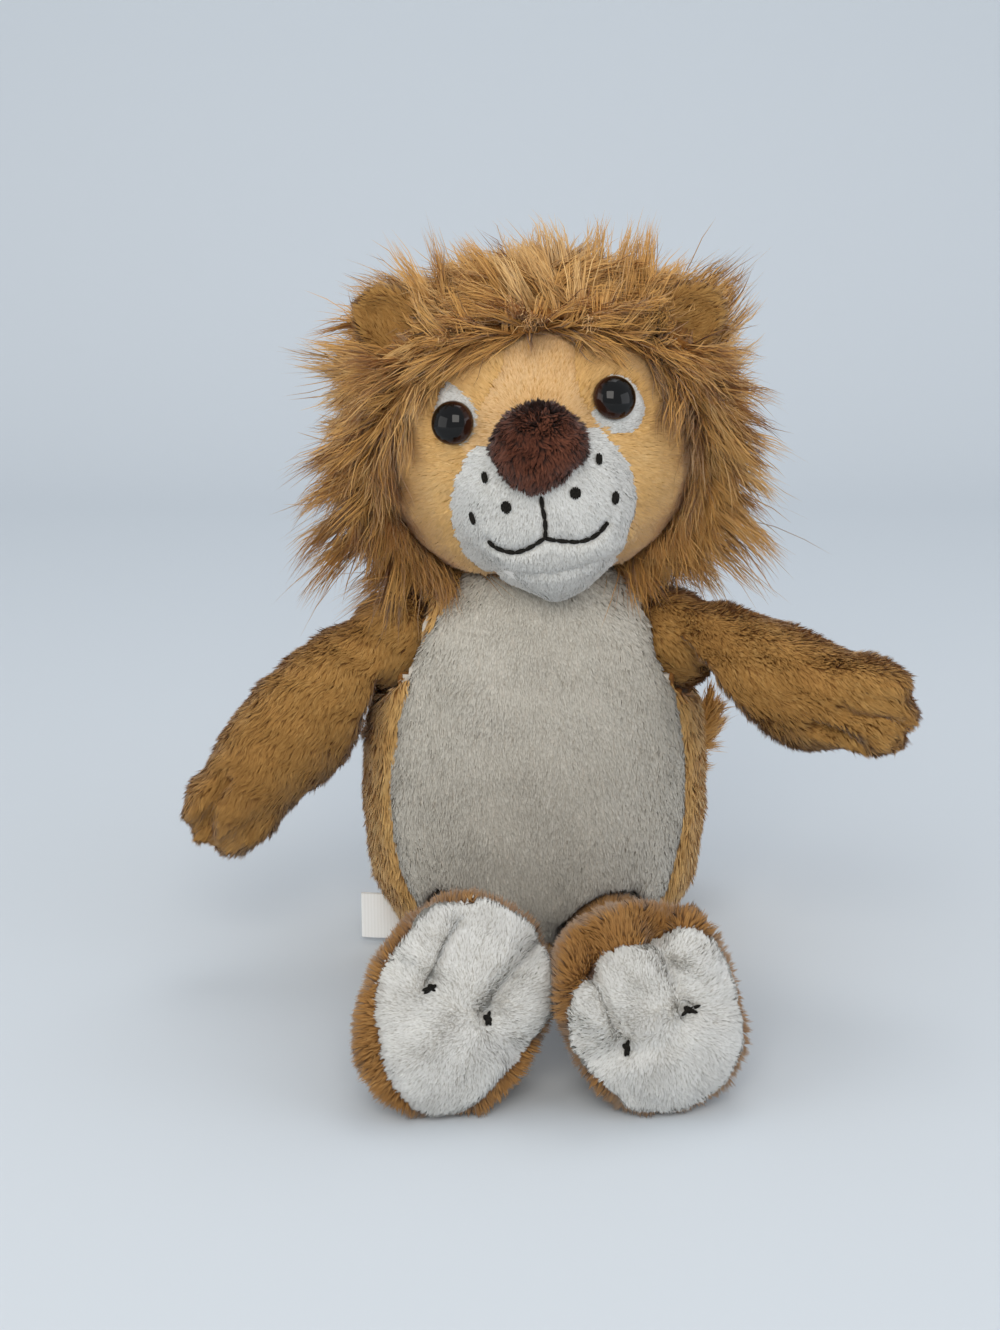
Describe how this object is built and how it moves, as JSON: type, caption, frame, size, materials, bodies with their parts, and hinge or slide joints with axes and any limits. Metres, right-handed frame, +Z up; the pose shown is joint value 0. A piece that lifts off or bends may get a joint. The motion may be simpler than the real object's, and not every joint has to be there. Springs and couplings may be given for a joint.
{
  "type": "plush lion",
  "caption": "Seated plush lion with a furry mane, cream tummy, embroidered muzzle, padded paws held forward and outstretched arms",
  "frame": {"origin": "middle of the flat seat panel on the surface the lion sits on", "axes": "+Z up out of the surface, the lion faces -Y, its own left hand is on +X"},
  "size_m": [0.2063, 0.1834, 0.2093],
  "materials": {
    "brown_plush": "short brown plush pile, matte",
    "gold_plush": "short golden plush pile, matte",
    "light_plush": "short light golden plush pile, matte",
    "white_plush": "short white plush pile, matte",
    "cream_plush": "very short cream plush pile, matte",
    "nose_plush": "dark brown plush pile, matte",
    "mane_fur": "long caramel fur pile, matte",
    "fibre": "white fibre stuffing, matte",
    "bag_cloth": "woven cotton, matte",
    "eye_plastic": "dark glossy plastic",
    "washer_plastic": "white plastic, satin",
    "black_thread": "black embroidery thread, matte",
    "satin": "white woven satin, low sheen"
  },
  "bodies": {
    "torso": {"tummy_panel": "cream_plush", "seat_panel": "brown_plush", "body_side_left": "brown_plush", "body_side_right": "brown_plush", "pellet_bag": "bag_cloth", "body_stuffing": "fibre", "care_label": "satin"},
    "head": {"head_back": "mane_fur", "forehead_blaze": "light_plush", "face_left": "gold_plush", "face_right": "gold_plush", "muzzle_panel": "white_plush", "chin_panel": "white_plush", "nose": "nose_plush", "eye_left": "eye_plastic", "eye_patch_left": "white_plush", "eye_washer_left": "washer_plastic", "eye_right": "eye_plastic", "eye_patch_right": "white_plush", "eye_washer_right": "washer_plastic", "head_stuffing": "fibre", "mouth_stitch": "black_thread", "whisker_left_1": "black_thread", "whisker_left_2": "black_thread", "whisker_left_3": "black_thread", "whisker_right_1": "black_thread", "whisker_right_2": "black_thread", "whisker_right_3": "black_thread", "ear_left": "brown_plush", "ear_right": "brown_plush", "mane_back": "mane_fur", "mane_ruff": "mane_fur"},
    "left_arm": {"arm_left": "brown_plush", "arm_stuffing_left": "fibre"},
    "right_arm": {"arm_right": "brown_plush", "arm_stuffing_right": "fibre"},
    "left_leg": {"leg_left": "brown_plush", "sole_left": "white_plush", "leg_stuffing_left": "fibre", "toe_tie_left_1": "black_thread", "toe_tie_left_2": "black_thread"},
    "right_leg": {"leg_right": "brown_plush", "sole_right": "white_plush", "leg_stuffing_right": "fibre", "toe_tie_right_1": "black_thread", "toe_tie_right_2": "black_thread"},
    "tail": {"tail_cord": "brown_plush", "tail_tuft": "mane_fur"}
  },
  "joints": [
    {"name": "head_turn", "type": "hinge", "parent": "torso", "child": "head", "pos_m": [0, 0, 0.117], "axis": [0, 0, 1], "range_deg": [-25, 25]},
    {"name": "shoulder_left", "type": "hinge", "parent": "torso", "child": "left_arm", "pos_m": [0.04, -0.002, 0.095], "axis": [-0.6691, -0.7431, 0], "range_deg": [-45, 11]},
    {"name": "shoulder_right", "type": "hinge", "parent": "torso", "child": "right_arm", "pos_m": [-0.04, -0.002, 0.095], "axis": [-0.3746, 0.9272, 0], "range_deg": [-10, 46]},
    {"name": "hip_left", "type": "hinge", "parent": "torso", "child": "left_leg", "pos_m": [0.022, -0.031, 0.0125], "axis": [-1, 0, 0], "range_deg": [-35, 45]},
    {"name": "hip_right", "type": "hinge", "parent": "torso", "child": "right_leg", "pos_m": [-0.022, -0.031, 0.0125], "axis": [-1, 0, 0], "range_deg": [-35, 45]},
    {"name": "tail_swing", "type": "hinge", "parent": "torso", "child": "tail", "pos_m": [0.004, 0.0364, 0.019], "axis": [0, 0, 1], "range_deg": [-15, 60]}
  ]
}
